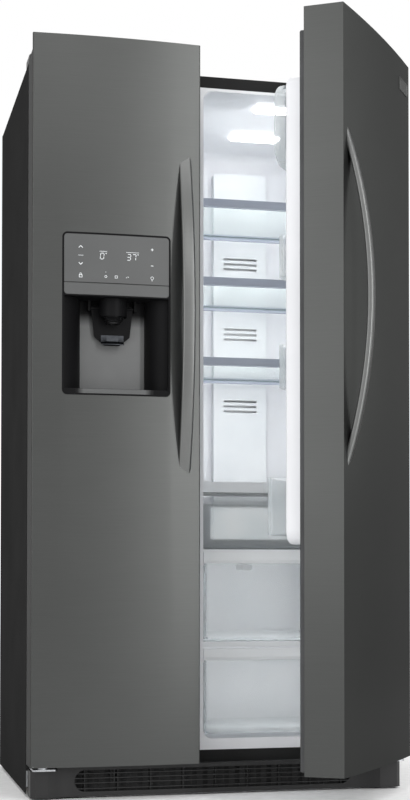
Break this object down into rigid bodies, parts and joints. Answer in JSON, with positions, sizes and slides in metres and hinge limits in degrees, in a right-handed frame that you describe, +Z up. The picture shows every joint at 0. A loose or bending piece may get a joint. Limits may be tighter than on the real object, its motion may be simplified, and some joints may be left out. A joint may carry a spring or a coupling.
{
  "type": "side by side refrigerator",
  "caption": "Tall two-door refrigerator: a freezer with an ice and water dispenser beside a wider fresh food side with glass shelves, drawers and an open door.",
  "frame": {"origin": "centre of the front left levelling foot, on the floor", "axes": "+Z up, +X to the right seen from the front, +Y from the doors to the back"},
  "size_m": [0.9277, 1.2007, 1.776],
  "materials": {
    "dark_steel": "brushed dark coat",
    "dark_paint": "satin",
    "galvanised": "dull",
    "steel": "plated",
    "black_steel": "gloss",
    "liner_white": "satin",
    "foam": "matte",
    "dark_plastic": "satin",
    "black_gloss": "gloss",
    "grey_plastic": "matte",
    "white_plastic": "satin",
    "clear_plastic": "clear",
    "lens": "frosted",
    "glass": "clear",
    "gasket_rubber": "matte",
    "aluminium": "mill",
    "nylon": "matte"
  },
  "bodies": {
    "cabinet": {"cabinet_shell": "dark_paint", "foam_insulation": "foam", "fridge_liner": "liner_white", "freezer_liner": "liner_white", "mullion_strip": "dark_paint", "rear_panel": "galvanised", "base_frame": "galvanised", "toe_grille": "dark_plastic", "levelling_legs": "steel", "top_hinges": "steel", "bottom_hinges": "steel", "hinge_covers": "dark_plastic", "compressor": "black_steel", "condenser": "black_steel", "fan_motors": "galvanised", "drain_pan": "dark_plastic", "machine_cover": "galvanised", "water_valve": "white_plastic", "power_inlet": "dark_plastic", "evaporator": "aluminium", "evaporator_cover": "white_plastic", "fridge_duct_cover": "white_plastic", "ceiling_light_lenses": "lens", "shelf_frames": "grey_plastic", "shelf_glass": "glass", "drawer_covers": "white_plastic", "freezer_shelves": "steel", "freezer_baskets": "white_plastic", "ice_maker": "grey_plastic", "ice_bin": "clear_plastic"},
    "freezer_door": {"freezer_door_skin": "dark_steel", "freezer_door_caps": "dark_plastic", "freezer_door_foam": "foam", "freezer_door_liner": "liner_white", "freezer_gasket": "gasket_rubber", "freezer_handle": "dark_steel", "freezer_door_bins": "clear_plastic", "dispenser_housing": "dark_plastic", "dispenser_panel": "black_gloss", "dispenser_chute": "black_gloss"},
    "fridge_door": {"fridge_door_skin": "dark_steel", "fridge_door_caps": "dark_plastic", "fridge_door_foam": "foam", "fridge_door_liner": "liner_white", "fridge_gasket": "gasket_rubber", "fridge_handle": "dark_steel", "fridge_door_bins": "clear_plastic"},
    "dispenser_paddle": {"dispenser_paddle": "black_gloss"},
    "dairy_lid": {"dairy_lid": "clear_plastic"},
    "deli_drawer": {"deli_drawer": "clear_plastic"},
    "crisper_upper": {"crisper_upper": "clear_plastic", "crisper_upper_trim": "white_plastic"},
    "crisper_lower": {"crisper_lower": "clear_plastic", "crisper_lower_trim": "white_plastic"},
    "humidity_slider": {"humidity_slider": "grey_plastic"},
    "evaporator_fan": {"evaporator_fan": "white_plastic"},
    "condenser_fan": {"condenser_fan": "dark_plastic"},
    "ice_auger": {"ice_auger": "steel"},
    "rear_roller_left": {"rear_roller_left": "nylon"},
    "rear_roller_right": {"rear_roller_right": "nylon"}
  },
  "joints": [
    {"name": "freezer_door_swing", "type": "hinge", "parent": "cabinet", "child": "freezer_door", "pos_m": [-0.0278, -0.1164, 0.9], "axis": [0, 0, -1], "range_deg": [0, 110]},
    {"name": "fridge_door_swing", "type": "hinge", "parent": "cabinet", "child": "fridge_door", "pos_m": [0.8228, -0.1164, 0.9], "axis": [0, 0, 1], "range_deg": [-55.15, 54.85]},
    {"name": "dairy_lid_lift", "type": "hinge", "parent": "fridge_door", "child": "dairy_lid", "pos_m": [0.58244, -0.23515, 1.617], "axis": [0.5714, 0.8207, 0], "range_deg": [0, 75]},
    {"name": "dispenser_paddle_press", "type": "hinge", "parent": "freezer_door", "child": "dispenser_paddle", "pos_m": [0.134, -0.089, 1.15], "axis": [1, 0, 0], "range_deg": [0, 5], "stiffness_Nm_per_rad": 0.6},
    {"name": "deli_drawer_slide", "type": "slide", "parent": "cabinet", "child": "deli_drawer", "axis": [0, -1, 0], "range_m": [0, 0.115]},
    {"name": "crisper_upper_slide", "type": "slide", "parent": "cabinet", "child": "crisper_upper", "axis": [0, -1, 0], "range_m": [0, 0.06]},
    {"name": "crisper_lower_slide", "type": "slide", "parent": "cabinet", "child": "crisper_lower", "axis": [0, -1, 0], "range_m": [0, 0.06]},
    {"name": "humidity_slide", "type": "slide", "parent": "crisper_upper", "child": "humidity_slider", "axis": [1, 0, 0], "range_m": [0, 0.03]},
    {"name": "evaporator_fan_spin", "type": "hinge", "parent": "cabinet", "child": "evaporator_fan", "pos_m": [0.148, 0.515, 1.12], "axis": [0, 1, 0], "continuous": true},
    {"name": "condenser_fan_spin", "type": "hinge", "parent": "cabinet", "child": "condenser_fan", "pos_m": [0.28, 0.515, 0.128], "axis": [1, 0, 0], "continuous": true},
    {"name": "ice_auger_turn", "type": "hinge", "parent": "cabinet", "child": "ice_auger", "pos_m": [0.134, 0.195, 1.368], "axis": [0, -1, 0], "continuous": true},
    {"name": "rear_roller_left_spin", "type": "hinge", "parent": "cabinet", "child": "rear_roller_left", "pos_m": [-0.008, 0.583, 0.018], "axis": [1, 0, 0], "continuous": true},
    {"name": "rear_roller_right_spin", "type": "hinge", "parent": "cabinet", "child": "rear_roller_right", "pos_m": [0.803, 0.583, 0.018], "axis": [1, 0, 0], "continuous": true}
  ]
}
